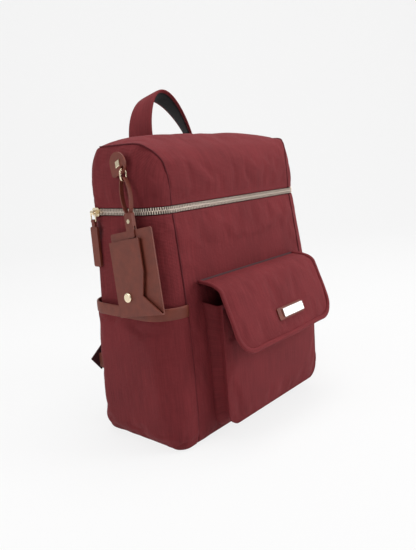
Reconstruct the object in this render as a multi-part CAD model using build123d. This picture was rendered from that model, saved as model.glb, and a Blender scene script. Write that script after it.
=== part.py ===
from build123d import *
import math
import os

# A soft travel backpack: a tapered tub closed by a domed lid that zips round three sides,
# a front pocket under a flap, two side pockets, a leather luggage tag, a grab handle and
# two shoulder straps. Millimetres. The front faces -Y, +X is to the right seen from the
# front, +Z is up, and the origin is the centre of the base's underside.

# ---- bag body ------------------------------------------------------------------------------------
base_width = 330.0        # side to side at the foot
base_depth = 148.0        # front to back at the foot
zip_width = 315.0         # side to side at the zipper
zip_front = 53.0          # origin to the front, at the zipper
zip_back = 66.0           # origin to the back, at the zipper
zip_height = 295.0        # floor to the middle of the zipper
front_bulge = 7.0         # how far the filled front swells at mid height
side_bulge = 1.0
front_radius = 32.0       # plan corners
back_radius = 20.0
foot_round = 11.0         # softened edge round the base
foot_pinch = 0.4          # share of the round that the plan shrinks by at the floor
lower_bend = 0.3          # heights of the swell's facets, as shares of the zipper's height
upper_bend = 0.62
smallest_corner = 3.0
seam_inset = 30.5         # side face to the seam between side and front panels
wall = 3.0                # fabric with its foam
back_wall = 8.0           # padded back
lining_thickness = 0.6
board_thickness = 2.5
base_thickness = 3.0

# ---- lid -----------------------------------------------------------------------------------------
lid_rise = 91.0           # zipper to the crown
eave_drop = 7.0           # crown to the dome's side edges
front_top_drop = 12.0     # crown to the dome's front edge
front_lean = 4.0          # how far the dome's front leans back
back_lean = 8.0           # how far its back leans forward
dome_front_radius = 42.0
dome_back_radius = 15.0
dome_side_radius = 24.0
crown_radius = 1200.0
dome_seam_rise = 37.0     # straight part of the dome seam above the zipper
dome_seam_radius = 50.0
dome_seam_turn = 75.0     # degrees
dome_back_seam = 2.0      # seam in front of the back edge's round
lid_wall = 3.0

# ---- main zipper ---------------------------------------------------------------------------------
chain_height = 8.8        # both rows of teeth together
chain_thickness = 2.6
tape_width = 14.0         # each half, from the middle of the zipper
tape_thickness = 0.8
part_line = 0.3           # gap between the two rows, and between lid and tub at the hinge
hinge_radius = 2.2        # corded back hinge
hinge_gap = 0.3
hinge_end = 2.0           # from the corded hinge's end to the side seam
fabric_gap = 0.1          # between the teeth and the cloth's edge

# ---- zip slider and pull -------------------------------------------------------------------------
slider_length = 13.0
slider_height = 11.0
slider_plate = 1.8
slider_gap = 0.3
slider_bevel = 2.0
slider_place = 49.0       # middle of the slider along Y, closed
bridge_width = 5.6
bridge_height = 5.0
bridge_round = 2.2
bail_stand_off = 4.6      # plate to bail axis
bail_wire = 0.9           # radius
bail_bore_gap = 0.05
bail_span = 8.6           # between the wire's middle lines
bail_corner = 1.3
bail_drop = 11.0
pull_length = 58.0
pull_width = 13.0
pull_neck = 5.8
pull_neck_length = 7.0
pull_thickness = 3.4
pull_corner = 2.5
pull_eye_wall = 1.2
pull_eye_gap = 0.3

# ---- front pocket and flap -----------------------------------------------------------------------
pocket_width = 212.0
pocket_face = 103.0       # origin to the pocket's front
pocket_mouth = 178.0      # floor to the pocket's top edge
pocket_foot = 8.0         # floor to the gusset at the body
pocket_foot_rise = 9.0    # how much higher the gusset is at the front
pocket_wall = 2.4
pocket_corner = 18.0
pocket_floor_round = 4.0
sharp = 0.2               # a corner that is all but square
binding_height = 6.0
binding_thickness = 1.0
flap_overhang = 3.0       # flap's edge beyond the pocket's side
flap_hinge_height = 203.0
flap_cord_radius = 2.0
flap_cord_sink = 0.4      # share of the cord's radius let into the seam
flap_cord_end = 4.0       # from the cord's end to the flap's edge
flap_gap = 0.3
flap_run = 32.0           # hinge to where the flap turns down
flap_turn_radius = 15.0
flap_drop = 86.0          # hinge to the flap's lower edge
flap_flare = 33.0         # how much further out the lower edge is than the turn
flap_shell = 2.2
flap_lining_thickness = 1.0
flap_corner = 24.0
flap_edge = 5.0           # width of the bound edge
flap_edge_proud = 0.5
flap_edge_drop = 2.0      # bound edge below the skin's lower end
patch_length = 57.0
patch_width = 16.0
patch_thickness = 2.2
patch_corner = 2.0
patch_place = 8.5         # middle, along X
patch_height = 145.5      # middle, above the floor
plate_length = 47.0
plate_width = 11.5
plate_thickness = 2.4
plate_shift = 4.5
plate_corner = 0.8
plate_bevel = 0.5
magnet_radius = 8.0
magnet_thickness = 1.4
magnet_height = 150.0

# ---- side pockets --------------------------------------------------------------------------------
side_mouth = 181.0        # floor to the leather trim's top
trim_height = 15.0
trim_thickness = 1.6
side_cloth = 1.6
mouth_stand_off = 10.0   # pocket cloth to body side, at the mouth
foot_stand_off = 5.0
side_foot = 3.0           # floor to the pocket's underside
side_foot_pinch = 6.6     # how much the plan shrinks there
side_foot_rise = 17.0     # floor to where the foot's slope ends
side_seam_proud = 1.0     # cloth over the body at its seams
trim_lip = 1.0            # trim above the cloth's edge

# ---- luggage tag ---------------------------------------------------------------------------------
tab_place = -7.0          # middle of the leather tab along Y
tab_rise = 57.5           # zipper to the middle of the tab's round end
tab_radius = 13.5
tab_tip = 20.0            # round end's middle to the tip
tab_thickness = 2.4
tab_stand_off = 5.2
tab_turn = 31.0           # degrees, tip towards the back
tab_tip_radius = 4.0
tab_base_radius = 7.0
stud_length = 12.5
stud_width = 8.8
stud_thickness = 1.6
stud_shift = 1.5          # tab's middle to the stud's, towards the front
stud_bevel = 0.5
eyelet_radius = 2.4
eyelet_round = 1.15
eyelet_offset = (-7.6, -5.0)    # round end's middle to the hole that carries the ring
ring_wire = 1.0
ring_half_width = 4.6
ring_bend = 4.59          # radius of its round ends
ring_height = 14.0        # between the middle lines of its top and bottom
ring_gap = 0.3
tag_lean = 10.0           # degrees off plumb, in the side's plane
tag_tilt = 4.6            # degrees, lower end outwards
tag_width = 72.0
tag_length = 100.0
tag_drop = 58.5           # ring to the tag's top edge
tag_leather = 1.8
tag_pocket_gap = 2.4      # between its two leaves
tag_offset = -2.2         # tag's middle to the line it hangs on
tag_corner = 3.0
tag_fold_round = 1.4
front_leaf_drop = 10.0    # below the tag's top edge
front_leaf_width = 53.0
front_leaf_waist = 46.0   # width beside the snap
front_leaf_break = 28.0   # from the snap up to where the leaf starts to narrow
front_leaf_flare = 4.0    # how far short of the corner its slope ends
snap_from_edge = 20.5
snap_from_top = 78.0
thong_width = 5.6         # where it is folded over the ring
thong_thickness = 1.6
thong_eye_half = 6.5      # half the width of the loop's eye
thong_eye_length = 42.0
thong_eye_top = 3.3       # eye's inner top above the middle of the ring's wire
thong_tail_width = 13.0
thong_corner = 2.0
thong_tail_top = 38.0     # below the ring
thong_split = 54.0        # where its two ends part to hold the tag
thong_overlap = 9.0       # how far it reaches below the tag's top edge
slot_gap = 0.4
rivet_radius = 2.6
rivet_post = 1.4
rivet_cap = 0.8
rivet_drop = 48.0
snap_radius = 6.0
snap_height = 2.6
snap_round = 1.5
snap_socket_radius = 4.0
card_width = 44.0
card_length = 52.0
card_thickness = 0.8
card_drop = 2.0           # below the front leaf's edge

# ---- grab handle ---------------------------------------------------------------------------------
handle_span = 98.0        # outside of its feet
handle_rise = 72.0        # above the lid's eaves
handle_width = 38.0
handle_place = 45.0       # middle of its feet along Y
handle_shift = -16.0      # middle along X: it is sewn on off centre
handle_lean = 14.0        # degrees, backwards
handle_cloth = 2.6
handle_lining = 2.2

# ---- inside --------------------------------------------------------------------------------------
laptop_gap = 30.0         # room for a 15 inch laptop
sleeve_thickness = 5.0
sleeve_height = 235.0
slip_gap = 6.0
slip_thickness = 1.2
slip_height = 150.0
slip_width = 200.0
slip_rise = 25.0          # sleeve's foot to the slip pocket's

# ---- shoulder straps -----------------------------------------------------------------------------
strap_width = 58.0
strap_thickness = 9.0
strap_top_place = 50.0    # middle of a strap's top end along X
strap_foot_place = 84.0
strap_top = 284.0
strap_foot = 128.0
strap_reach = 97.0        # origin to the hanging strap's inner face
strap_foot_width = 50.0
strap_corner = 9.0
strap_lean_share = 0.3    # of the outward lean, reached by the strap's middle
strap_taper = 20.0        # height of the bends in a strap's outline
strap_foot_share = 0.7    # of the foot's width, left at its end
strap_hang = 60.0         # top end to where the strap hangs free
strap_bow = 4.0
strap_bend = 30.0         # bend radius
anchor_height = 26.0
anchor_margin = 4.0
anchor_thickness = 2.0
web_width = 25.0
web_thickness = 1.6
web_tail = 9.0            # webbing beyond the wing's tip
web_sewn = 20.0           # webbing inside the strap's foot
wing_place = 140.0        # tip of the wing tab along X
wing_height = 84.0
wing_base = 54.0          # along the seam
wing_tip_width = 18.0
wing_thickness = 3.0
wing_tip_length = 13.0
wing_leather = 1.2
wing_root = 6.0           # inside the seam
buckle_length = 24.0
buckle_rail = 5.0
buckle_bar = 5.0
buckle_plate = 1.5
buckle_gap = 0.3
buckle_place = 34.0       # wing end of the webbing to the buckle's middle

far = 600.0               # longer than anything here, for cutting tools


# ---- helpers -------------------------------------------------------------------------------------
def save(name, shape):
    export_step(shape, f"parts/{name}.step")


def block(x0, x1, y0, y1, z0, z1):
    return Pos((x0 + x1) / 2, (y0 + y1) / 2, (z0 + z1) / 2) * Box(x1 - x0, y1 - y0, z1 - z0)


def slab(z0, z1):
    return block(-far, far, -far, far, z0, z1)


def rounded_plan(half, front, back, r_front, r_back, z):
    """A plan outline at height z, with one radius for the front corners and one for the back."""
    corners = [
        (half - r_front, front + r_front, r_front, -90),
        (half - r_back, back - r_back, r_back, 0),
        (-half + r_back, back - r_back, r_back, 90),
        (-half + r_front, front + r_front, r_front, 180),
    ]
    arcs = [CenterArc((x, y), r, start, 90) for x, y, r, start in corners]
    sides = [Line(arcs[i] @ 1, arcs[(i + 1) % 4] @ 0) for i in range(4)]
    edges = [edge for pair in zip(arcs, sides) for edge in pair]
    return Pos(0, 0, z) * make_face(Curve() + edges)


def side_profile(points, radii, depth=far):
    """A closed YZ outline with rounded inner corners, extruded along X both ways."""
    path = FilletPolyline(*points, radius=radii)
    face = make_face(Curve() + [path, Line(points[-1], points[0])])
    return extrude(Plane.YZ * face, amount=depth, both=True)


def front_profile(face, depth=far):
    return extrude(Plane.XZ * face, amount=depth, both=True)


# ---- the body's form -----------------------------------------------------------------------------
def swell(z):
    return math.sin(math.pi * min(max(z / zip_height, 0), 1))


def body_half(z):
    return (base_width + (zip_width - base_width) * z / zip_height) / 2 + side_bulge * swell(z)


def body_front(z):
    half_depth = base_depth / 2
    return -(half_depth + (zip_front - half_depth) * z / zip_height) - front_bulge * swell(z)


def body_back(z):
    half_depth = base_depth / 2
    return half_depth + (zip_back - half_depth) * z / zip_height


def seam_place(z):
    return body_half(z) - seam_inset


body_levels = [foot_round, zip_height * lower_bend, zip_height * upper_bend, zip_height]


def body_form(inset, back_inset, foot, top_overshoot=0.0):
    """The tub's form, shrunk by an inset, from the height foot to the zipper."""
    sections = []
    levels = [foot] + [z for z in body_levels if z > foot]
    for z in levels:
        pinch = foot_round * foot_pinch * (1 - z / foot_round) if z < foot_round else 0.0
        end = z + (top_overshoot if z == zip_height else 0.0)
        sections.append(rounded_plan(
            body_half(z) - inset - pinch,
            body_front(z) + inset + pinch,
            body_back(z) - back_inset - pinch,
            max(front_radius - inset - pinch, smallest_corner),
            max(back_radius - inset - pinch, smallest_corner),
            end,
        ))
    return loft(sections, ruled=True)


def centre_prism(bottom, top, top_is_dome):
    """Everything between the two seams, as a solid that runs through from front to back."""
    low = seam_place(0)
    high = seam_place(zip_height)
    if not top_is_dome:
        face = make_face(Polyline((-low, bottom), (low, bottom), (high, top), (-high, top), close=True))
        return front_profile(face)
    turn = zip_height + dome_seam_rise
    arc = CenterArc((high + dome_seam_radius, turn), dome_seam_radius, 180 - dome_seam_turn,
                    dome_seam_turn)
    peak = (arc @ 0).X
    right = [Line((0, bottom), (high, bottom)), Line((high, bottom), arc @ 1), arc]
    right += [Line(arc @ 0, (peak, top + 1)), Line((peak, top + 1), (0, top + 1))]
    right += [Line((0, top + 1), (0, bottom))]
    half_face = make_face(Curve() + right)
    return front_profile(half_face + mirror(half_face, Plane.YZ))


body_outer = body_form(0, 0, 0)
body_inner = body_form(wall, back_wall, base_thickness, 1.0)
body_walls = (body_outer - body_inner) & slab(base_thickness, zip_height)
body_centre = centre_prism(0, zip_height, False)
back_half = block(-far, far, 0, far, -far, far)
front_half = block(-far, far, -far, 0, -far, far)
left_half = block(-far, 0, -far, far, -far, far)
right_half = block(0, far, -far, far, -far, far)

fabric_top = zip_height - chain_height / 2 - fabric_gap
hinge_top = zip_height - part_line / 2

front_panel = body_walls & body_centre & front_half & slab(0, fabric_top)
back_panel = body_walls & body_centre & back_half & slab(0, hinge_top)
side_walls = (body_walls - body_centre) & slab(0, fabric_top)
save("front_panel", front_panel)
save("back_panel", back_panel)
save("side_panel_left", side_walls & left_half)
save("side_panel_right", side_walls & right_half)
save("base_panel", body_outer & slab(0, base_thickness))

board_top = base_thickness + board_thickness
save("base_board", body_inner & slab(base_thickness, board_top))

lining_top = zip_height - tape_width
lining_inner = body_form(wall + lining_thickness, back_wall + lining_thickness,
                         board_top + lining_thickness, 1.0)
body_lining = (body_inner - lining_inner) & slab(board_top, lining_top)
save("body_lining", body_lining)

# ---- laptop sleeve and slip pocket ---------------------------------------------------------------
sleeve_floor = board_top + lining_thickness
sleeve_back = zip_back - back_wall - lining_thickness - laptop_gap
sleeve_front = sleeve_back - sleeve_thickness
sleeve = lining_inner & block(-far, far, sleeve_front, sleeve_back, 0, sleeve_floor + sleeve_height)
save("laptop_sleeve", sleeve)

slip_foot = sleeve_floor + slip_rise
slip_outer = block(-slip_width / 2, slip_width / 2, sleeve_front - slip_gap - slip_thickness,
                   sleeve_front, slip_foot, slip_foot + slip_height)
slip_room = block(-slip_width / 2 + slip_thickness, slip_width / 2 - slip_thickness,
                  sleeve_front - slip_gap, sleeve_front, slip_foot + slip_thickness, far)
save("slip_pocket", slip_outer - slip_room)

# ---- zipper, lower half --------------------------------------------------------------------------
def tub_band(inset, thickness, z0, z1):
    """A strip of the tub's wall, round the front and both sides to the hinge's ends."""
    outer = body_form(inset, inset, base_thickness, 1.0)
    inner = body_form(inset + thickness, inset + thickness, base_thickness, 1.0)
    return ((outer - inner) & slab(z0, z1)) - (body_centre & back_half)


teeth_inset = wall - chain_thickness
save("zipper_teeth_lower",
     tub_band(teeth_inset, chain_thickness, zip_height - chain_height / 2, hinge_top))
save("zipper_tape_lower",
     tub_band(wall, tape_thickness, lining_top + part_line, hinge_top) & body_inner)

hinge_y = zip_back + hinge_radius + hinge_gap
hinge_half = seam_place(zip_height) - hinge_end
hinge_cord = Pos(0, hinge_y, zip_height) * Rot(0, 90, 0) * Cylinder(hinge_radius, 2 * hinge_half)
save("hinge_cord", hinge_cord)

# ---- lid -----------------------------------------------------------------------------------------
crown = zip_height + lid_rise


def lid_form(inset):
    """The dome's form, shrunk by an inset: its plan, its side outline and its front outline."""
    half = zip_width / 2 - inset
    front = -zip_front + inset
    back = zip_back - inset
    plan = extrude(rounded_plan(half, front, back, front_radius - inset, back_radius - inset,
                                zip_height), amount=lid_rise + 1)
    outline = side_profile(
        [(front, zip_height), (front + front_lean, crown - front_top_drop - inset),
         (back - back_lean, crown - inset), (back, zip_height)],
        [dome_front_radius - inset, dome_back_radius - inset])
    eave = crown - eave_drop - inset
    arch = FilletPolyline((-half, zip_height), (-half, eave), (0, crown - inset), (half, eave),
                          (half, zip_height),
                          radius=[dome_side_radius - inset, crown_radius, dome_side_radius - inset])
    face = make_face(Curve() + [arch, Line((half, zip_height), (-half, zip_height))])
    return plan & outline & front_profile(face)


lid_outer = lid_form(0)
lid_inner = lid_form(lid_wall)
lid_shell = lid_outer - lid_inner
lid_centre = centre_prism(zip_height, crown, True)
fabric_foot = zip_height + chain_height / 2 + fabric_gap
hinge_foot = zip_height + part_line / 2
back_seam = zip_back - back_lean - dome_back_radius - dome_back_seam
behind_seam = block(-far, far, back_seam, far, -far, far)
above_zip = slab(fabric_foot, far)

lid_middle = lid_shell & lid_centre
lid_sides = (lid_shell - lid_centre) & above_zip
save("lid_top_panel", (lid_middle - behind_seam) & above_zip)
save("lid_back_panel", lid_middle & behind_seam & slab(hinge_foot, far))
save("lid_side_left", lid_sides & left_half)
save("lid_side_right", lid_sides & right_half)
lid_lining = (lid_inner - lid_form(lid_wall + lining_thickness)) & slab(zip_height + tape_width, far)
save("lid_lining", lid_lining)


def lid_band(inset, thickness, z0, z1):
    """A strip of the lid's wall, round the front and both sides to the hinge's ends."""
    seam = seam_place(zip_height)
    band = (lid_form(inset) - lid_form(inset + thickness)) & slab(z0, z1)
    return band - block(-seam, seam, 0, far, -far, far)


save("zipper_teeth_upper",
     lid_band(teeth_inset, chain_thickness, hinge_foot, zip_height + chain_height / 2))
save("zipper_tape_upper",
     lid_band(lid_wall, tape_thickness, hinge_foot, zip_height + tape_width - part_line))

# ---- grab handle ---------------------------------------------------------------------------------
def handle_layer(inset, thickness):
    """One layer of the handle's leaning arch, cut where it meets the lid."""
    outer = Ellipse(handle_span / 2 - inset, handle_rise - inset)
    inner = Ellipse(handle_span / 2 - inset - thickness, handle_rise - inset - thickness)
    arch = extrude(Plane.XZ * (outer - inner), amount=handle_width / 2, both=True)
    eave = crown - eave_drop
    band = Pos(handle_shift, handle_place, eave) * Rot(-handle_lean, 0, 0) * arch
    return (band & slab(eave, far)) - lid_outer


save("grab_handle", handle_layer(0, handle_cloth))
save("grab_handle_lining", handle_layer(handle_cloth, handle_lining))

# ---- slider and pull -----------------------------------------------------------------------------
slider_x = -(body_half(zip_height - slider_height / 2) + slider_gap)
plate_x = slider_x - slider_plate
bail_x = plate_x - bail_stand_off
slider_y0 = slider_place - slider_length / 2
slider_y1 = slider_place + slider_length / 2
plate = block(plate_x, slider_x, slider_y0, slider_y1, zip_height - slider_height / 2,
              zip_height + slider_height / 2)
plate = chamfer(plate.edges().filter_by(Axis.X), slider_bevel)
bridge = block(bail_x - bridge_height / 2, plate_x, slider_place - bridge_width / 2,
               slider_place + bridge_width / 2, zip_height - bridge_height / 2,
               zip_height + bridge_height / 2)
bridge = fillet(bridge.edges().filter_by(Axis.Y).sort_by(Axis.X)[:2], bridge_round)
bail_hole = Pos(bail_x, slider_place, zip_height) * Rot(90, 0, 0) * Cylinder(
    bail_wire + bail_bore_gap, bridge_width * 2)
save("zip_slider", plate + bridge - bail_hole)

bail_low = zip_height - bail_drop
bail_path = Plane.YZ * (Pos(slider_place, zip_height - bail_drop / 2)
                        * RectangleRounded(bail_span, bail_drop, bail_corner)).wire()
bail_path = Pos(bail_x, 0, 0) * bail_path
bail_start = Plane(origin=bail_path @ 0, z_dir=bail_path % 0)
save("zip_bail", sweep(bail_start * Circle(bail_wire), path=bail_path))

eye_radius = bail_wire + pull_eye_gap
pull_half = pull_thickness / 2
eye = Pos(bail_x, slider_place, bail_low) * Rot(90, 0, 0)
pull_strip = block(bail_x - pull_half, bail_x + pull_half, slider_place - pull_width / 2,
                   slider_place + pull_width / 2, bail_low - pull_length,
                   bail_low - pull_neck_length)
pull_strip = fillet(pull_strip.edges().filter_by(Axis.X), pull_corner)
neck = block(bail_x - pull_half, bail_x + pull_half, slider_place - pull_neck / 2,
             slider_place + pull_neck / 2, bail_low - pull_neck_length - 1, bail_low)
knuckle = eye * Cylinder(eye_radius + pull_eye_wall, pull_neck)
save("zip_pull", pull_strip + neck + knuckle - eye * Cylinder(eye_radius, pull_width))

# ---- front pocket --------------------------------------------------------------------------------
pocket_half = pocket_width / 2
pocket_front_y = -pocket_face


def pocket_box(inset, foot):
    """The pocket's outer form, shrunk by an inset, cut back to the body's front."""
    rise = pocket_foot + foot
    floor_points = [(0, rise), (pocket_front_y + inset, rise + pocket_foot_rise),
                    (pocket_front_y + inset, pocket_mouth + 1), (0, pocket_mouth + 1)]
    outline = side_profile(floor_points, [pocket_floor_round, sharp])
    lower = Pos(0, far / 2 + rise) * Rectangle(2 * (pocket_half - inset), far)
    rounded = fillet(lower.vertices().sort_by(Axis.Y)[:2], pocket_corner - inset)
    return outline & front_profile(rounded)


pocket_outer = pocket_box(0, 0)
pocket_room = pocket_box(pocket_wall, pocket_wall)
pocket_shell = (pocket_outer - pocket_room - body_outer) & front_half & slab(0, pocket_mouth)
front_slice = block(-far, far, -far, pocket_front_y + pocket_wall, -far, far)
binding_zone = slab(pocket_mouth - binding_height, far)
pocket_face_panel = (pocket_shell & front_slice) - binding_zone
magnet_seat = Pos(0, pocket_front_y + pocket_wall - magnet_thickness / 2, magnet_height) * (
    Rot(90, 0, 0) * Cylinder(magnet_radius, magnet_thickness))
save("pocket_front", pocket_face_panel - magnet_seat)
save("pocket_magnet", magnet_seat)
save("pocket_gusset", pocket_shell - front_slice)
binding_face = block(-pocket_half, pocket_half, pocket_front_y - binding_thickness,
                     pocket_front_y, pocket_mouth - binding_height, pocket_mouth)
save("pocket_binding", (pocket_shell & front_slice & binding_zone) + binding_face)

# ---- flap ----------------------------------------------------------------------------------------
flap_wall_y = body_front(flap_hinge_height)
flap_cord_y = flap_wall_y - flap_cord_radius * (1 - flap_cord_sink)
flap_half = pocket_half + flap_overhang
flap_cord = Pos(0, flap_cord_y, flap_hinge_height) * Rot(0, 90, 0) * Cylinder(
    flap_cord_radius, 2 * (flap_half - flap_cord_end))
save("flap_cord", flap_cord - body_outer)

flap_start = flap_cord_y - flap_cord_radius - flap_gap
flap_turn_y = flap_start - flap_run
flap_total = flap_shell + flap_lining_thickness
flap_top = flap_hinge_height + flap_total / 2
flap_tip_y = flap_turn_y - flap_flare
flap_tip_z = flap_hinge_height - flap_drop
flap_fall = math.atan2(flap_flare, flap_top - flap_tip_z)


def flap_layer(offset, thickness):
    """A layer of the flap, offset inwards from its outer skin: a run, a turn and a fall."""
    inward = (math.cos(flap_fall), -math.sin(flap_fall))

    def rail(depth):
        turn_y = flap_turn_y + depth / math.cos(flap_fall) - depth * math.tan(flap_fall)
        tip = (flap_tip_y + inward[0] * depth, flap_tip_z + inward[1] * depth)
        return [(flap_start, flap_top - depth), (turn_y, flap_top - depth), tip]

    outer = FilletPolyline(*rail(offset), radius=flap_turn_radius - offset)
    inner = FilletPolyline(*rail(offset + thickness), radius=flap_turn_radius - offset - thickness)
    ends = [Line(outer @ 0, inner @ 0), Line(outer @ 1, inner @ 1)]
    return extrude(Plane.YZ * make_face(Curve() + [outer, inner] + ends), amount=far, both=True)


def flap_outline(inset):
    """The flap's outline seen from the front, with its two lower corners rounded."""
    low = flap_tip_z - flap_edge_drop + inset
    face = Pos(0, low + far / 2) * Rectangle(2 * (flap_half - inset), far)
    return front_profile(fillet(face.vertices().sort_by(Axis.Y)[:2], flap_corner - inset))


flap_inside = flap_outline(flap_edge)
flap_magnet = flap_layer(flap_shell - magnet_thickness, magnet_thickness) & (
    Pos(0, 0, magnet_height) * Rot(90, 0, 0) * Cylinder(magnet_radius, far))
save("flap_magnet", flap_magnet)
save("flap_panel", (flap_layer(0, flap_shell) & flap_inside) - flap_magnet)
save("flap_lining", flap_layer(flap_shell, flap_lining_thickness) & flap_inside)
save("flap_binding", (flap_layer(-flap_edge_proud, flap_total + 2 * flap_edge_proud)
                      & flap_outline(0)) - flap_inside)

patch_y = flap_tip_y + (patch_height - flap_tip_z) * math.tan(flap_fall)
flap_skin = Plane(origin=(patch_place, patch_y, patch_height), x_dir=(1, 0, 0),
                  z_dir=(0, -math.cos(flap_fall), math.sin(flap_fall)))
patch = Pos(0, 0, patch_thickness / 2) * Box(patch_length, patch_width, patch_thickness)
patch = fillet(patch.edges().filter_by(Axis.Z), patch_corner)
save("flap_patch", flap_skin * patch)
plate_box = Pos(plate_shift, 0, patch_thickness + plate_thickness / 2) * Box(
    plate_length, plate_width, plate_thickness)
plate_box = fillet(plate_box.edges().filter_by(Axis.Z), plate_corner)
plate_box = chamfer(plate_box.faces().sort_by(Axis.Z)[-1].edges(), plate_bevel)
save("nameplate", flap_skin * plate_box)

# ---- side pockets --------------------------------------------------------------------------------
def stand_off(z):
    share = (z - side_foot) / (side_mouth - side_foot)
    return foot_stand_off + (mouth_stand_off - foot_stand_off) * share


def pocket_form(inset, proud, foot, top):
    """The form over both side pockets: the tub's plan widened sideways by the stand-off."""
    sections = []
    for z in [foot, side_foot_rise, zip_height * lower_bend, top]:
        out = stand_off(z) - inset
        pinch = side_foot_pinch if z == foot else 0.0
        sections.append(rounded_plan(
            body_half(z) + out - pinch, body_front(z) - proud + pinch,
            body_back(z) + proud - pinch, front_radius + out, back_radius + out, z))
    return loft(sections, ruled=True)


side_zone = slab(side_foot, far) - body_centre
cloth_form = pocket_form(0, side_seam_proud, side_foot, side_mouth)
room_form = pocket_form(side_cloth, side_seam_proud - side_cloth, side_foot + side_cloth,
                        side_mouth)
side_cloths = (cloth_form - room_form - body_outer) & side_zone & slab(0, side_mouth - trim_lip)
trim_form = pocket_form(-trim_thickness, side_seam_proud + trim_thickness, side_foot, side_mouth)
trims = (trim_form - cloth_form - body_outer) & side_zone
trims = trims & slab(side_mouth - trim_height, side_mouth)
for side, half_space in (("left", left_half), ("right", right_half)):
    save(f"side_pocket_{side}", (side_cloths & half_space).solids().sort_by(SortBy.VOLUME)[-1])
    save(f"pocket_trim_{side}", trims & half_space)

# ---- tag's tab and ring --------------------------------------------------------------------------
tab_inner_x = -(zip_width / 2 + tab_stand_off)
tab_outer_x = tab_inner_x - tab_thickness
tab_middle_x = (tab_inner_x + tab_outer_x) / 2
tab_height = zip_height + tab_rise
eyelet_y = tab_place + eyelet_offset[0]
eyelet_z = tab_height + eyelet_offset[1]


def teardrop(radius, reach):
    """The tab's outline in YZ: a round end above, tapering to a soft tip below."""
    touch_y = radius * math.sqrt(1 - (radius / reach) ** 2)
    touch_z = -radius ** 2 / reach
    tip = make_face(Polyline((touch_y, touch_z), (0, -reach), (-touch_y, touch_z), close=True))
    return fillet((Circle(radius) + tip).vertices().sort_by(Axis.Y)[:1], tab_tip_radius)


tab_face = Pos(tab_place, tab_height) * Rot(0, 0, tab_turn) * teardrop(tab_radius, tab_tip)
tab = Pos(tab_outer_x, 0, 0) * extrude(Plane.YZ * tab_face, amount=tab_thickness)
eyelet = Pos(tab_middle_x, eyelet_y, eyelet_z) * Rot(0, 90, 0)
tab = tab - eyelet * Cylinder(eyelet_radius, 2 * tab_thickness)
eyelet_rims = [edge for edge in tab.edges().filter_by(GeomType.CIRCLE)
               if abs(edge.radius - eyelet_radius) < 0.01]
save("tag_tab", fillet(eyelet_rims, eyelet_round))

tab_base = Pos(tab_inner_x + tab_stand_off, tab_place, tab_height) * Rot(0, 90, 0) * Cylinder(
    tab_base_radius, 2 * tab_stand_off)
save("tag_tab_base", tab_base - lid_outer)

stud_face = make_face(Polyline((stud_width / 2, 0), (0, stud_length / 2), (-stud_width / 2, 0),
                               (0, -stud_length / 2), close=True))
stud_face = Pos(tab_place - stud_shift, tab_height) * Rot(0, 0, tab_turn) * stud_face
stud = Pos(tab_outer_x - stud_thickness, 0, 0) * extrude(Plane.YZ * stud_face,
                                                        amount=stud_thickness)
save("tag_stud", chamfer(stud.faces().sort_by(Axis.X)[0].edges(), stud_bevel))

ring_pivot_z = eyelet_z - eyelet_radius - tab_thickness / 2
ring_top_z = ring_pivot_z + tab_thickness / 2 + ring_gap + ring_wire
ring_low_z = ring_top_z - ring_height
ring_path = Plane.XZ * (Pos(tab_middle_x, (ring_top_z + ring_low_z) / 2) * RectangleRounded(
    2 * ring_half_width, ring_height, ring_bend)).wire()
ring_path = Pos(0, eyelet_y, 0) * ring_path
ring_start = Plane(origin=ring_path @ 0, z_dir=ring_path % 0)
save("tag_ring", sweep(ring_start * Circle(ring_wire), path=ring_path))

# ---- luggage tag, hanging from the ring ----------------------------------------------------------
lean = math.radians(tag_lean)
tilt = math.radians(tag_tilt)
hang_up = (math.cos(lean) * math.sin(tilt), math.sin(lean), math.cos(lean) * math.cos(tilt))
hang_right = (math.sin(lean) * math.sin(tilt), -math.cos(lean), math.sin(lean) * math.cos(tilt))
tag_plane = Plane(origin=(tab_middle_x, eyelet_y, ring_low_z), x_dir=hang_right,
                  z_dir=Vector(*hang_right).cross(Vector(*hang_up)))
# In the tag's own plane X is across, Y is up from the ring's wire and Z points off the bag.
half_leather = tag_leather / 2
thong_half = half_leather + thong_thickness
eye_middle = thong_eye_top - thong_eye_length / 2
eye_outer = Ellipse(thong_eye_half + thong_thickness, thong_eye_length / 2 + thong_thickness)
eye_inner = Ellipse(thong_eye_half, thong_eye_length / 2)
eye_ring = Pos(0, eye_middle) * (eye_outer - eye_inner)
thong_eye = Pos(0, 0, -thong_width / 2) * extrude(eye_ring, amount=thong_width)
tail_half = thong_tail_width / 2
tail_foot = -(tag_drop + thong_overlap)
thong_tail = block(-tail_half, tail_half, tail_foot, -thong_tail_top, -thong_half, thong_half)
tail_room = block(-far, far, tail_foot + thong_thickness, -thong_split, -half_leather, half_leather)
rivet_hole = Pos(0, -rivet_drop, 0) * Cylinder(rivet_post, 4 * thong_half)
thong = thong_eye + fillet(thong_tail.edges().filter_by(Axis.Z), thong_corner) - tail_room - rivet_hole
save("tag_thong", tag_plane * thong)

rivet = Pos(0, -rivet_drop, 0) * Cylinder(rivet_post, 2 * thong_half)
for face_z in (thong_half + rivet_cap / 2, -thong_half - rivet_cap / 2):
    rivet += Pos(0, -rivet_drop, face_z) * Cylinder(rivet_radius, rivet_cap)
save("tag_rivet", tag_plane * rivet)

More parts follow.
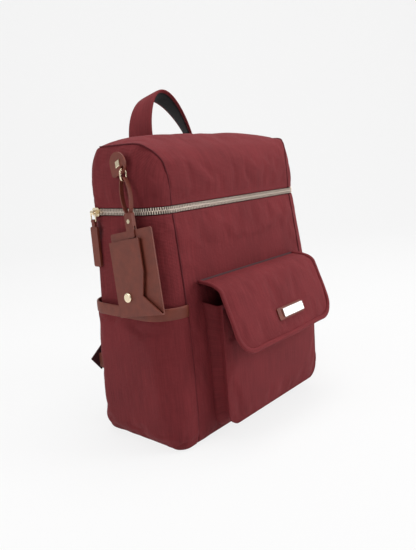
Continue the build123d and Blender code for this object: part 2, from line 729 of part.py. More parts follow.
tag_left = tag_offset - tag_width / 2
tag_right = tag_offset + tag_width / 2
tag_top = -tag_drop
tag_foot = tag_top - tag_length
front_z = half_leather + tag_pocket_gap
back_leaf = block(tag_left, tag_right, tag_foot, tag_top, -half_leather, half_leather)
back_leaf = fillet(back_leaf.edges().filter_by(Axis.Z).sort_by(Axis.Y)[-2:], tag_corner)
back_leaf -= block(-tail_half - slot_gap, tail_half + slot_gap, tail_foot - slot_gap,
                   tail_foot + thong_thickness + slot_gap, -far, far)
leaf_top = tag_top - front_leaf_drop
snap_y = tag_top - snap_from_top
leaf_right = tag_left + front_leaf_width
leaf_points = [(tag_left, leaf_top), (leaf_right, leaf_top),
               (leaf_right, snap_y + front_leaf_break), (tag_left + front_leaf_waist, snap_y),
               (tag_right - front_leaf_flare, tag_foot + front_leaf_flare),
               (tag_right, tag_foot), (tag_left, tag_foot)]
front_leaf = Pos(0, 0, front_z) * extrude(make_face(Polyline(*leaf_points, close=True)),
                                          amount=tag_leather)
fold = block(tag_left, tag_right, tag_foot - tag_leather, tag_foot, -half_leather,
             front_z + tag_leather)
fold = fillet(fold.edges().filter_by(Axis.X).sort_by(Axis.Y)[:2], tag_fold_round)
save("tag_leather", tag_plane * (back_leaf + front_leaf + fold))

snap_x = tag_left + snap_from_edge
snap_cap = Pos(snap_x, snap_y, front_z + tag_leather + snap_height / 2) * Cylinder(
    snap_radius, snap_height)
snap_cap = fillet(snap_cap.edges().sort_by(Axis.Z)[-1:], snap_round)
snap_socket = Pos(snap_x, snap_y, half_leather + tag_pocket_gap / 2) * Cylinder(
    snap_socket_radius, tag_pocket_gap)
save("tag_snap", tag_plane * (snap_cap + snap_socket))
card_left = tag_left + tag_corner
card_top = leaf_top - card_drop
card = block(card_left, card_left + card_width, card_top - card_length, card_top,
             half_leather, half_leather + card_thickness)
save("tag_card", tag_plane * card)

# ---- shoulder straps -----------------------------------------------------------------------------
anchor_low = strap_top - anchor_height
web_y = strap_reach + strap_thickness / 2


def strap_band():
    """The straps' bent band seen from the side, thick as the padding."""
    rail = [(body_back(strap_top) + anchor_thickness, strap_top),
            (body_back(anchor_low) + anchor_thickness, anchor_low),
            (strap_reach, strap_top - strap_hang),
            (strap_reach + strap_bow, (strap_top - strap_hang + strap_foot) / 2),
            (strap_reach, strap_foot)]
    outer = [(y + strap_thickness, z) for y, z in rail]
    inner_path = FilletPolyline(*rail, radius=strap_bend)
    outer_path = FilletPolyline(*outer, radius=strap_bend)
    ends = [Line(inner_path @ 0, outer_path @ 0), Line(inner_path @ 1, outer_path @ 1)]
    return extrude(Plane.YZ * make_face(Curve() + [inner_path, outer_path] + ends), amount=far,
                   both=True)


def strap_shape(sign):
    """A strap's outline seen from behind: straight at the top, leaning out towards its foot."""
    top_half = strap_width / 2
    foot_half = strap_foot_width / 2
    middle = (strap_top + strap_foot) / 2
    strap_lean = (strap_foot_place - strap_top_place) * strap_lean_share
    end_half = foot_half * strap_foot_share
    points = [(strap_top_place - top_half, strap_top), (strap_top_place + top_half, strap_top),
              (strap_top_place + top_half + strap_lean, middle + strap_taper),
              (strap_foot_place + foot_half, strap_foot + strap_taper),
              (strap_foot_place + end_half, strap_foot),
              (strap_foot_place - end_half, strap_foot),
              (strap_foot_place - foot_half, strap_foot + strap_taper),
              (strap_top_place - top_half + strap_lean, middle + strap_taper)]
    face = make_face(Polyline(*[(sign * x, z) for x, z in points], close=True))
    return front_profile(fillet(face.vertices(), strap_corner))


band = strap_band()
wing_seam = seam_place(wing_height)
wing_y = body_back(wing_height)
cap_half = wing_thickness / 2 + wing_leather
wing_reach = wing_place - wing_seam
wing_rise = web_y - web_thickness / 2 - wing_y
wing_run = math.hypot(wing_reach, wing_rise) - cap_half * wing_reach / wing_rise
web_run = math.hypot(wing_place - strap_foot_place, strap_foot - wing_height)
anchors = None
for side, sign in (("left", -1), ("right", 1)):
    anchor = block(-strap_width / 2 - anchor_margin, strap_width / 2 + anchor_margin, 0,
                   body_back(anchor_low) + anchor_thickness, anchor_low, strap_top)
    anchor = Pos(sign * strap_top_place, 0, 0) * anchor
    anchor = anchor & side_profile([(0, anchor_low), (body_back(anchor_low) + anchor_thickness,
                                    anchor_low), (body_back(strap_top) + anchor_thickness,
                                    strap_top), (0, strap_top)], [sharp, sharp])
    anchor = anchor - body_outer
    anchors = anchor if anchors is None else anchors + anchor
    strap = (band & strap_shape(sign)) - anchor
    save(f"shoulder_strap_{side}", strap)

    wing_plane = Plane(origin=(sign * wing_seam, wing_y, wing_height),
                       x_dir=(sign * wing_reach, wing_rise, 0),
                       z_dir=(wing_rise, -sign * wing_reach, 0))
    wing_face = make_face(Polyline((-wing_root, -wing_base / 2), (wing_run, -wing_tip_width / 2),
                                   (wing_run, wing_tip_width / 2), (-wing_root, wing_base / 2),
                                   close=True))
    wing_cloth = block(-far, wing_run - wing_leather, -far, far, -wing_thickness / 2,
                       wing_thickness / 2)
    wing_cap = block(wing_run - wing_tip_length, wing_run, -far, far, -far, far)
    wing_slab = wing_plane * extrude(wing_face, amount=cap_half, both=True)
    wing = (wing_slab & (wing_plane * wing_cloth)) - body_outer - cloth_form
    save(f"strap_wing_{side}", wing)
    save(f"wing_tip_{side}", (wing_slab & (wing_plane * wing_cap)) - wing)

    web_plane = Plane(origin=(sign * wing_place, web_y, wing_height),
                      x_dir=(sign * (strap_foot_place - wing_place), 0, strap_foot - wing_height),
                      z_dir=(0, 1, 0))
    webbing = block(-web_tail, web_run + web_sewn, -web_width / 2, web_width / 2, -web_thickness / 2,
                    web_thickness / 2)
    save(f"webbing_{side}", web_plane * webbing - strap)

    rail_in = web_width / 2 + buckle_gap
    bar_in = web_thickness / 2 + buckle_gap
    start = buckle_place - buckle_length / 2
    stop = buckle_place + buckle_length / 2
    buckle = block(start, stop, rail_in, rail_in + buckle_rail, -bar_in - buckle_plate,
                   bar_in + buckle_plate)
    buckle += mirror(buckle, Plane.XZ)
    for bar_start in (start, stop - buckle_bar):
        buckle += block(bar_start, bar_start + buckle_bar, -rail_in, rail_in,
                        -bar_in - buckle_plate, -bar_in)
    buckle += block(buckle_place - buckle_bar / 2, buckle_place + buckle_bar / 2, -rail_in, rail_in,
                    bar_in, bar_in + buckle_plate)
    save(f"strap_buckle_{side}", web_plane * buckle)
save("strap_anchor", anchors)
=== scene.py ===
import bisect
import math

import bmesh
import bpy
from mathutils import Matrix, Vector, noise


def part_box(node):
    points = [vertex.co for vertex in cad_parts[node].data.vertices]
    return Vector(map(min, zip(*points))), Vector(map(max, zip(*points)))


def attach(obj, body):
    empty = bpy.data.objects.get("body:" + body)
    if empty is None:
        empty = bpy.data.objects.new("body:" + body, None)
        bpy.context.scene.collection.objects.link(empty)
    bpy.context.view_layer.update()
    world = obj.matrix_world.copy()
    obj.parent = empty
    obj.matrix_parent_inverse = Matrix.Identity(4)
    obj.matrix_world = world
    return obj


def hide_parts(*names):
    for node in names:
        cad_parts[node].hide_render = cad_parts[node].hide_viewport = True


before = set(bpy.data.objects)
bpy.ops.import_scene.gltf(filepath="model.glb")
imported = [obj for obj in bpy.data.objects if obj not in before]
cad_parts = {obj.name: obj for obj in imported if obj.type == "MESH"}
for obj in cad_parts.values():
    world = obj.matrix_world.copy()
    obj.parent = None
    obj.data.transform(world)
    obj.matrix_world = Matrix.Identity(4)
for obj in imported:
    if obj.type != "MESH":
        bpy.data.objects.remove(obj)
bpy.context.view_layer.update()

# ---- Burgundy cloth -------------------------------------------------------------------------
# The bag is sewn from a heathered polyester plain weave: fine ribs across, uneven yarns down
# the length, a soft dry sheen. The weave is a node group, so the linings and the other cloths share it.


def add_node(nodes, kind, **settings):
    node = nodes.new(kind)
    for name, value in settings.items():
        setattr(node, name, value)
    return node


def new_group(name, inputs, outputs):
    group = bpy.data.node_groups.new(name, "ShaderNodeTree")
    for label, kind, default in inputs:
        socket = group.interface.new_socket(label, in_out="INPUT", socket_type=kind)
        socket.default_value = default
    for label, kind in outputs:
        group.interface.new_socket(label, in_out="OUTPUT", socket_type=kind)
    return group, group.nodes.new("NodeGroupInput"), group.nodes.new("NodeGroupOutput")


def math_node(group, operation, first, second=None, third=None):
    node = add_node(group.nodes, "ShaderNodeMath", operation=operation)
    for place, value in enumerate((first, second, third)):
        if value is None:
            continue
        if isinstance(value, (int, float)):
            node.inputs[place].default_value = value
        else:
            group.links.new(value, node.inputs[place])
    return node.outputs[0]


def stretched_noise(group, vector, stretch, detail=2.0):
    """Noise over a vector that is first scaled by stretch, to draw yarns or streaks."""
    scaled = add_node(group.nodes, "ShaderNodeVectorMath", operation="MULTIPLY")
    group.links.new(vector, scaled.inputs[0])
    scaled.inputs[1].default_value = stretch
    pattern = add_node(group.nodes, "ShaderNodeTexNoise")
    pattern.inputs["Scale"].default_value = 1.0
    pattern.inputs["Detail"].default_value = detail
    group.links.new(scaled.outputs[0], pattern.inputs["Vector"])
    return pattern.outputs["Fac"]


weave, weave_in, weave_out = new_group(
    "woven_yarns",
    [("Vector", "NodeSocketVector", (0, 0, 0)), ("Yarn", "NodeSocketFloat", 0.0016),
     ("Deep", "NodeSocketColor", (0, 0, 0, 1)), ("Bright", "NodeSocketColor", (1, 1, 1, 1)),
     ("Heather", "NodeSocketFloat", 0.6)],
    [("Color", "NodeSocketColor"), ("Height", "NodeSocketFloat")])
weave_parts = add_node(weave.nodes, "ShaderNodeSeparateXYZ")
weave.links.new(weave_in.outputs["Vector"], weave_parts.inputs[0])
ribs = math_node(weave, "DIVIDE", weave_parts.outputs[1], weave_in.outputs["Yarn"])
ribs = math_node(weave, "SINE", math_node(weave, "MULTIPLY", ribs, math.tau))
warps = math_node(weave, "DIVIDE", weave_parts.outputs[0], weave_in.outputs["Yarn"])
warps = math_node(weave, "SINE", math_node(weave, "MULTIPLY", warps, math.tau * 1.3))
slubs = stretched_noise(weave, weave_in.outputs["Vector"], (680, 26, 1))
picks = stretched_noise(weave, weave_in.outputs["Vector"], (60, 900, 1))
blotches = stretched_noise(weave, weave_in.outputs["Vector"], (16, 11, 1), 3.0)
tone = math_node(weave, "MULTIPLY_ADD", picks, 0.4, slubs)
tone = math_node(weave, "SUBTRACT", tone, 0.7)
tone = math_node(weave, "MULTIPLY", tone, weave_in.outputs["Heather"])
tone = math_node(weave, "MULTIPLY_ADD", blotches, 0.5, math_node(weave, "ADD", tone, 0.25))
tone = math_node(weave, "MULTIPLY_ADD", ribs, 0.06, tone)
weave_mix = add_node(weave.nodes, "ShaderNodeMix", data_type="RGBA", clamp_factor=True)
weave.links.new(tone, weave_mix.inputs["Factor"])
weave.links.new(weave_in.outputs["Deep"], weave_mix.inputs[6])
weave.links.new(weave_in.outputs["Bright"], weave_mix.inputs[7])
weave.links.new(weave_mix.outputs[2], weave_out.inputs["Color"])
relief = math_node(weave, "MULTIPLY_ADD", warps, 0.3, math_node(weave, "MULTIPLY", ribs, 0.5))
weave.links.new(math_node(weave, "ADD", relief, slubs), weave_out.inputs["Height"])


def cloth_material(name, deep, bright, yarn=0.0016, heather=0.6, sheen=0.25, bump=0.0003, rough=0.8):
    material = bpy.data.materials.new(name)
    material.use_nodes = True
    tree = material.node_tree
    shader = tree.nodes["Principled BSDF"]
    shader.inputs["Roughness"].default_value = rough
    shader.inputs["Sheen Weight"].default_value = sheen
    shader.inputs["Sheen Roughness"].default_value = 0.45
    shader.inputs["Sheen Tint"].default_value = (*bright, 1)
    shader.inputs["Specular IOR Level"].default_value = 0.25
    place = add_node(tree.nodes, "ShaderNodeTexCoord")
    yarns = add_node(tree.nodes, "ShaderNodeGroup", node_tree=weave)
    tree.links.new(place.outputs["UV"], yarns.inputs["Vector"])
    yarns.inputs["Yarn"].default_value = yarn
    yarns.inputs["Deep"].default_value = (*deep, 1)
    yarns.inputs["Bright"].default_value = (*bright, 1)
    yarns.inputs["Heather"].default_value = heather
    tree.links.new(yarns.outputs["Color"], shader.inputs["Base Color"])
    height = add_node(tree.nodes, "ShaderNodeBump")
    height.inputs["Strength"].default_value = 0.6
    height.inputs["Distance"].default_value = bump
    tree.links.new(yarns.outputs["Height"], height.inputs["Height"])
    tree.links.new(height.outputs["Normal"], shader.inputs["Normal"])
    return material


burgundy = cloth_material("burgundy_cloth", (0.078, 0.0070, 0.0095), (0.262, 0.030, 0.036), heather=0.60,
                          sheen=0.12)

# ---- Tub panels ------------------------------------------------------------------------------
# Front and side panels of the tub: cloth over thin foam, sewn to each other down the corners,
# to the base below and to the zipper tape above. Filled, they swell between their seams.
zip_z = (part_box("zipper_teeth_lower")[1].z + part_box("zipper_teeth_upper")[0].z) / 2
foot_half, zip_half = 0.165, 0.1575
foot_front, zip_front = -0.074, -0.053
foot_back, zip_back = 0.074, 0.066
front_fill = 0.007
corner_front, corner_back = 0.032, 0.020
foot_corner = 0.019
seam_inset = 0.0305
foot_round = 0.011
foot_tuck = 0.0060
cloth_top = zip_z - 0.0045
zip_band = 0.0068


def swell(z):
    return math.sin(math.pi * min(max(z / zip_z, 0), 1))


def tub_half(z):
    return foot_half + (zip_half - foot_half) * z / zip_z + 0.001 * swell(z)


def tub_front(z):
    return foot_front + (zip_front - foot_front) * z / zip_z - front_fill * swell(z)


def tub_back(z):
    return foot_back + (zip_back - foot_back) * z / zip_z


def tub_corner(z):
    return foot_corner + (corner_front - foot_corner) * min(max(z / zip_z, 0), 1)


def up_the_wall(length):
    """Height and inward tuck at a length up the wall from the base seam."""
    bend = foot_round * math.pi / 2
    if length > bend:
        return foot_round + length - bend, 0.0
    turn = length / foot_round
    return foot_round * (1 - math.cos(turn)), foot_tuck * (1 - math.sin(turn))


wall_length = cloth_top - foot_round + foot_round * math.pi / 2


def side_outline(half, front, back, r_front, r_back, seam, share):
    """A point at a share of the way round the left side, from the front seam to the back."""
    runs = [(half - r_front - seam), r_front * math.pi / 2, back - front - r_front - r_back,
            r_back * math.pi / 2, half - r_back - seam]
    runs = [max(run, 0.0) for run in runs]
    left = share * sum(runs)
    if left < runs[0]:
        return -seam - left, front
    left -= runs[0]
    if left < runs[1]:
        turn = left / r_front
        return (-(half - r_front) - r_front * math.sin(turn),
                front + r_front - r_front * math.cos(turn))
    left -= runs[1]
    if left < runs[2]:
        return -half, front + r_front + left
    left -= runs[2]
    if left < runs[3]:
        turn = left / r_back
        return (-(half - r_back) - r_back * math.cos(turn),
                back - r_back + r_back * math.sin(turn))
    left -= runs[3]
    return -(half - r_back) + left, back


def front_surface(u, v):
    z, tuck = up_the_wall(v * wall_length)
    seam = tub_half(z) - seam_inset
    return Vector(((2 * u - 1) * seam, tub_front(z) + tuck, z))


def side_surface(u, v):
    z, tuck = up_the_wall(v * wall_length)
    half = tub_half(z)
    x, y = side_outline(half - tuck, tub_front(z) + tuck, tub_back(z) - tuck, tub_corner(z) - tuck,
                        corner_back - tuck, half - seam_inset, u)
    return Vector((x, y, z))


def make_panel(name, surface, across, along, size, flip=False):
    """A grid of cloth laid on a surface, with its weave measured in metres by its UV map."""
    shell = bmesh.new()
    bmesh.ops.create_grid(shell, x_segments=across, y_segments=along, size=0.5)
    uv_layer = shell.loops.layers.uv.new("UVMap")
    for face in shell.faces:
        for loop in face.loops:
            u, v = loop.vert.co.x + 0.5, loop.vert.co.y + 0.5
            loop[uv_layer].uv = (u * size[0], v * size[1])
    border = [vert.index for vert in shell.verts if vert.is_boundary]
    for vert in shell.verts:
        vert.co = surface(vert.co.x + 0.5, vert.co.y + 0.5)
    if flip:
        bmesh.ops.reverse_faces(shell, faces=shell.faces)
    mesh = bpy.data.meshes.new(name)
    shell.to_mesh(mesh)
    shell.free()
    for face in mesh.polygons:
        face.use_smooth = True
    piece = bpy.data.objects.new(name, mesh)
    bpy.context.scene.collection.objects.link(piece)
    sewn = piece.vertex_groups.new(name="sewn")
    sewn.add(border, 1.0, "REPLACE")
    return piece


deepest_fold = 0.0007


def fill_out(piece, pressure, spare, most, held=None, frames=18, stiff=12.0, bend=0.6):
    """Lets a sewn panel swell as cloth between its seams, by no more than a set distance."""
    rest = [(vert.co.copy(), vert.normal.copy()) for vert in piece.data.vertices]
    sewn = piece.vertex_groups["sewn"]
    if held:
        sewn.add([i for i, (co, normal) in enumerate(rest) if held(co)], 1.0, "REPLACE")
    for vert in piece.data.vertices:
        lift = noise.noise(vert.co * 45) * 0.0004
        if not any(group.weight > 0.9 for group in vert.groups):
            vert.co += vert.normal * lift
    cloth = piece.modifiers.new("fill", "CLOTH")
    settings = cloth.settings
    settings.quality = 5
    settings.mass = 0.15
    settings.tension_stiffness = stiff
    settings.compression_stiffness = stiff
    settings.shear_stiffness = stiff / 3
    settings.bending_stiffness = bend
    settings.use_pressure = True
    settings.uniform_pressure_force = pressure
    settings.shrink_min = -spare
    settings.vertex_group_mass = "sewn"
    settings.effector_weights.gravity = 0
    cloth.collision_settings.use_collision = False
    cloth.point_cache.frame_start = 1
    cloth.point_cache.frame_end = frames
    for step in range(1, frames + 1):
        bpy.context.scene.frame_set(step)
    seen = piece.evaluated_get(bpy.context.evaluated_depsgraph_get())
    moved = [vert.co.copy() for vert in seen.data.vertices]
    piece.modifiers.remove(cloth)
    for vert, (start, normal), end in zip(piece.data.vertices, rest, moved):
        step = end - start
        step -= normal * min(0.0, step.dot(normal) + deepest_fold)
        vert.co = start + step * min(1.0, most / max(step.length, 1e-9))
    bpy.context.scene.frame_set(1)


def mirrored(piece, name):
    """The same piece on the bag's right."""
    other = bpy.data.objects.new(name, piece.data.copy())
    bpy.context.scene.collection.objects.link(other)
    other.data.transform(Matrix.Scale(-1, 4, (1, 0, 0)))
    other.data.flip_normals()
    return other


def finish_cloth(piece, material, thickness, body, replaces):
    piece.data.materials.append(material)
    wall = piece.modifiers.new("wall", "SOLIDIFY")
    wall.thickness = thickness
    wall.offset = -1
    smooth = piece.modifiers.new("smooth", "SUBSURF")
    smooth.levels = smooth.render_levels = 1
    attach(piece, body)
    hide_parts(*replaces)
    return piece


def in_zip_band(co):
    return abs(co.z - zip_z) < zip_band + 0.0045


def flat_behind_flap(co):
    """Where the lifted flap comes to lie, and round the zipper, the cloth stays flat."""
    return in_zip_band(co) or (0.198 < co.z < 0.246 and abs(co.x) < 0.112)


front_width = 2 * (tub_half(0.15) - seam_inset)
front_panel = make_panel("front_cloth", front_surface, 54, 62, (front_width, wall_length))
fill_out(front_panel, 2.0, 0.012, 0.0045, held=flat_behind_flap)
finish_cloth(front_panel, burgundy, 0.0022, "bag", ["front_panel"])

side_panel = make_panel("side_cloth_left", side_surface, 44, 62, (0.19, wall_length), flip=True)
fill_out(side_panel, 1.5, 0.015, 0.0022, held=in_zip_band)
side_panel_right = mirrored(side_panel, "side_cloth_right")
finish_cloth(side_panel, burgundy, 0.0022, "bag", ["side_panel_left"])
finish_cloth(side_panel_right, burgundy, 0.0022, "bag", ["side_panel_right"])

# ---- Lid --------------------------------------------------------------------------------------
# The domed lid is three cloth panels over foam: one runs from the front zipper over the top, one
# wraps each side, one closes the back above the hinge. Their seams pucker at the front corners.
lid_foot = zip_z + 0.0045
hinge_top = zip_z + 0.0005
side_bend_front, side_bend_back = 2.6, 6.0


def smooth_line(points, steps=16):
    """A function that walks a smooth line through the points, by share of its length."""
    places = [Vector(point) for point in points]
    ends = [2 * places[0] - places[1], *places, 2 * places[-1] - places[-2]]
    dense = []
    for a, b, c, d in zip(ends, ends[1:], ends[2:], ends[3:]):
        for step in range(steps):
            t = step / steps
            dense.append(0.5 * (2 * b + (c - a) * t + (2 * a - 5 * b + 4 * c - d) * t * t
                                + (3 * b - a - 3 * c + d) * t ** 3))
    dense.append(places[-1])
    reach = [0.0]
    for here, there in zip(dense, dense[1:]):
        reach.append(reach[-1] + (there - here).length)

    def walk(share):
        length = min(max(share, 0.0), 1.0) * reach[-1]
        at = min(bisect.bisect_right(reach, length) - 1, len(dense) - 2)
        part = (length - reach[at]) / max(reach[at + 1] - reach[at], 1e-9)
        return dense[at].lerp(dense[at + 1], part)

    walk.length = reach[-1]
    return walk


front_seam = [(-0.127, -0.0512, 0.330), (-0.1285, -0.0495, 0.342), (-0.131, -0.048, 0.3516),
              (-0.136, -0.0431, 0.3607), (-0.1416, -0.0371, 0.3674), (-0.1480, -0.026, 0.3735),
              (-0.1486, 0.006, 0.3745), (-0.1486, 0.041, 0.3745)]
back_seam = [(-0.1465, 0.050, 0.372), (-0.143, 0.0555, 0.367), (-0.136, 0.0590, 0.358),
             (-0.131, 0.0610, 0.347), (-0.127, 0.0630, 0.332)]
dome_seam = smooth_line([(-0.127, -0.053, lid_foot), *front_seam])
side_top = smooth_line(front_seam + back_seam)
back_edge = smooth_line([(-0.127, 0.0657, hinge_top), *reversed(back_seam), front_seam[-1]])
top_middle = smooth_line([(0, -0.053, lid_foot), (0, -0.0518, 0.318), (0, -0.0506, 0.338),
                          (0, -0.0477, 0.3524), (0, -0.0386, 0.366), (0, -0.025, 0.3751),
                          (0, -0.0136, 0.3785), (0, 0.012, 0.3822), (0, 0.041, 0.3850)])
back_middle = smooth_line([(0, 0.066, hinge_top), (0, 0.0635, 0.325), (0, 0.0603, 0.358),
                           (0, 0.0588, 0.370), (0, 0.0545, 0.381), (0, 0.0475, 0.3852),
                           (0, 0.041, 0.3850)])


def dome_top(u, v):
    middle, seam = top_middle(v), dome_seam(v)
    aside = abs(2 * u - 1)
    return Vector(((1 - 2 * u) * seam.x, middle.y + (seam.y - middle.y) * aside ** 3,
                   middle.z + (seam.z - middle.z) * aside ** 4.5))


def dome_side(u, v):
    x, y = side_outline(zip_half, zip_front, zip_back, corner_front, corner_back,
                        zip_half - seam_inset, u)
    foot, top = Vector((x, y, lid_foot)), side_top(u)
    bend = side_bend_front + (side_bend_back - side_bend_front) * min(1.0, u / 0.4)
    inward = v ** bend
    return Vector((foot.x + (top.x - foot.x) * inward, foot.y + (top.y - foot.y) * inward,
                   foot.z + (top.z - foot.z) * v))


def dome_back(u, v):
    middle, seam = back_middle(v), back_edge(v)
    aside = abs(2 * u - 1)
    return Vector(((1 - 2 * u) * seam.x, middle.y + (seam.y - middle.y) * aside ** 4,
                   middle.z + (seam.z - middle.z) * aside ** 4.5))


lid_top = make_panel("lid_top_cloth", dome_top, 64, 48, (0.29, 0.155))
fill_out(lid_top, 2.2, 0.010, 0.005, held=in_zip_band)
finish_cloth(lid_top, burgundy, 0.0022, "lid", ["lid_top_panel"])

lid_side = make_panel("lid_side_cloth_left", dome_side, 48, 26, (0.15, 0.075), flip=True)
fill_out(lid_side, 1.4, 0.012, 0.0035, held=in_zip_band)
lid_side_right = mirrored(lid_side, "lid_side_cloth_right")
finish_cloth(lid_side, burgundy, 0.0022, "lid", ["lid_side_left"])
finish_cloth(lid_side_right, burgundy, 0.0022, "lid", ["lid_side_right"])

lid_back = make_panel("lid_back_cloth", dome_back, 48, 26, (0.27, 0.10), flip=True)
fill_out(lid_back, 1.2, 0.008, 0.003, held=in_zip_band)
finish_cloth(lid_back, burgundy, 0.0022, "lid", ["lid_back_panel"])

lining = cloth_material("lining_cloth", (0.006, 0.006, 0.007), (0.026, 0.025, 0.027), yarn=0.0010,
                        sheen=0.1)
lid_drawn_in, tub_drawn_in = Vector((0.970, 0.93, 0.95)), Vector((0.965, 0.90, 0.948))


def lined(surface, scale, foot):
    """The same surface, drawn in to lie behind the outer cloth."""
    def inner(u, v):
        place = surface(u, v)
        return Vector((place.x * scale.x, place.y * scale.y, foot + (place.z - foot) * scale.z))
    return inner


def tub_rear(u, v):
    z, tuck = up_the_wall(v * wall_length)
    return Vector(((2 * u - 1) * (tub_half(z) - seam_inset), tub_back(z) - tuck, z))


def line_with_black(body, replaces, scale, foot, middle, side, rear):
    """A lining of four panels, drawn in from the outer panels of the tub or of the lid."""
    linings = [make_panel(body + "_lining_middle", lined(middle, scale, foot), 40, 30, (0.29, 0.2)),
               make_panel(body + "_lining_left", lined(side, scale, foot), 30, 20, (0.18, 0.2), True),
               make_panel(body + "_lining_rear", lined(rear, scale, foot), 30, 20, (0.27, 0.2), True)]
    linings.append(mirrored(linings[1], body + "_lining_right"))
    for piece in linings:
        finish_cloth(piece, lining, 0.0006, body, [replaces])


line_with_black("lid", "lid_lining", lid_drawn_in, lid_foot, dome_top, dome_side, dome_back)
line_with_black("bag", "body_lining", tub_drawn_in, 0.006, front_surface, side_surface, tub_rear)

# ---- Seam cords ---------------------------------------------------------------------------------
# Every seam of the outer cloth is turned in and shows as a thin rolled cord of the same cloth,
# painted darker as the shade in the seam's crease: down the tub's corners and along the dome.
seam_cloth_painted_shade = cloth_material("seam_cloth_painted_shade", (0.060, 0.006, 0.009), (0.170, 0.022, 0.029), yarn=0.0012)
cord_width, cord_thickness = 0.0018, 0.0018


def flat_section(width, thickness, count=20, square=4.0):
    """A rounded flat section, as places across the strip and out of it."""
    points = []
    for step in range(count):
        angle = math.tau * (step + 0.5) / count
        c, s = math.cos(angle), math.sin(angle)
        points.append((math.copysign(abs(c) ** (2 / square), c) * width / 2,
                       math.copysign(abs(s) ** 0.8, s) * thickness / 2))
    return points


def ribbon(name, spine, side, section, steps):
    """A strip with a rounded section, swept along a spine and closed at both ends."""
    shell = bmesh.new()
    uv_layer = shell.loops.layers.uv.new("UVMap")
    rings, reach, last = [], [0.0], None
    for step in range(steps + 1):
        t = step / steps
        here = spine(t)
        if last is not None:
            reach.append(reach[-1] + (here - last).length)
        last = here
        ahead = (spine(min(t + 0.01, 1)) - spine(max(t - 0.01, 0))).normalized()
        across = side(t)
        across = (across - ahead * across.dot(ahead)).normalized()
        out = ahead.cross(across)
        rings.append([shell.verts.new(here + across * a + out * b) for a, b in section(t)])
    count = len(rings[0])
    around = [(rings[0][k].co - rings[0][(k + 1) % count].co).length for k in range(count)]
    for step in range(steps):
        for k in range(count):
            after = (k + 1) % count
            face = shell.faces.new((rings[step][k], rings[step][after], rings[step + 1][after],
                                    rings[step + 1][k]))
            start, end = sum(around[:k]), sum(around[:k + 1])
            corners = ((start, reach[step]), (end, reach[step]), (end, reach[step + 1]),
                       (start, reach[step + 1]))
            for loop, corner in zip(face.loops, corners):
                loop[uv_layer].uv = corner
    for ring in (rings[0], rings[-1]):
        shell.faces.new(ring)
    bmesh.ops.recalc_face_normals(shell, faces=shell.faces)
    mesh = bpy.data.meshes.new(name)
    shell.to_mesh(mesh)
    shell.free()
    mesh.polygons.foreach_set("use_smooth", [True] * len(mesh.polygons))
    piece = bpy.data.objects.new(name, mesh)
    bpy.context.scene.collection.objects.link(piece)
    return piece


def dress(piece, material, body, replaces=()):
    piece.data.materials.append(material)
    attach(piece, body)
    if replaces:
        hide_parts(*replaces)
    return piece


def cord_section(t):
    return flat_section(cord_width, cord_thickness, 10, 2.0)


def upwards(t):
    return Vector((0, 0, 1))


def outwards(t):
    return Vector((-0.7, -0.7, 0.2))


tub_seam = smooth_line([front_surface(0, step / 12) for step in range(13)])
for side_name, sign in (("left", 1), ("right", -1)):
    tub_cord = ribbon("tub_seam_" + side_name, tub_seam, outwards, cord_section, 60)
    dome_cord = ribbon("dome_seam_" + side_name, dome_seam, outwards, cord_section, 60)
    for cord, body in ((tub_cord, "bag"), (dome_cord, "lid")):
        if sign < 0:
            cord.data.transform(Matrix.Scale(-1, 4, (1, 0, 0)))
            cord.data.flip_normals()
        dress(cord, seam_cloth_painted_shade, body)

# ---- Main zipper ---------------------------------------------------------------------------------
# A chunky chain: moulded teeth on both rows, alternating, round the front and the two sides. Each
# row is carried by its tape, the lower on the bag and the upper on the lid.
tooth_pitch = 0.0029
tooth_width, tooth_height, tooth_depth = 0.0013, 0.0046, 0.0026


def plain_material(name, color, rough, metal=0.0, coat=0.0, grain=0.0, grain_size=900.0, deep=None):
    """A solid finish with a fine grain in its relief and, given a deep tone, in its colour."""
    material = bpy.data.materials.new(name)
    material.use_nodes = True
    tree = material.node_tree
    shader = tree.nodes["Principled BSDF"]
    shader.inputs["Base Color"].default_value = (*color, 1)
    shader.inputs["Roughness"].default_value = rough
    shader.inputs["Metallic"].default_value = metal
    shader.inputs["Coat Weight"].default_value = coat
    place = add_node(tree.nodes, "ShaderNodeTexCoord")
    pattern = stretched_noise(tree, place.outputs["Object"], (grain_size,) * 3, 3.0)
    height = add_node(tree.nodes, "ShaderNodeBump")
    height.inputs["Strength"].default_value = 0.5
    height.inputs["Distance"].default_value = grain
    tree.links.new(pattern, height.inputs["Height"])
    tree.links.new(height.outputs["Normal"], shader.inputs["Normal"])
    if deep:
        blotch = stretched_noise(tree, place.outputs["Object"], (grain_size / 9,) * 3, 4.0)
        tone = add_node(tree.nodes, "ShaderNodeMix", data_type="RGBA")
        tree.links.new(blotch, tone.inputs["Factor"])
        tone.inputs[6].default_value = (*deep, 1)
        tone.inputs[7].default_value = (*color, 1)
        tree.links.new(tone.outputs[2], shader.inputs["Base Color"])
    return material


teeth_finish = plain_material("zipper_teeth", (0.74, 0.62, 0.53), 0.30, metal=1.0)
gold = plain_material("pale_gold", (0.92, 0.78, 0.56), 0.24, metal=1.0)
leather = plain_material("saddle_leather", (0.225, 0.040, 0.018), 0.58, grain=0.0003,
                         deep=(0.105, 0.018, 0.009))


def chain_place(length):
    """Place and outward direction on the zipper's path, from the middle of the front leftwards."""
    total = zip_half - corner_front + corner_front * math.pi / 2
    total += zip_back - zip_front - corner_front - corner_back
    total += corner_back * math.pi / 2 + zip_half - corner_back
    points = [side_outline(zip_half, zip_front, zip_back, corner_front, corner_back, 0.0,
                           (length + nudge) / total) for nudge in (-0.0005, 0.0, 0.0005)]
    along = Vector((points[2][0] - points[0][0], points[2][1] - points[0][1], 0)).normalized()
    return Vector((*points[1], 0)), along


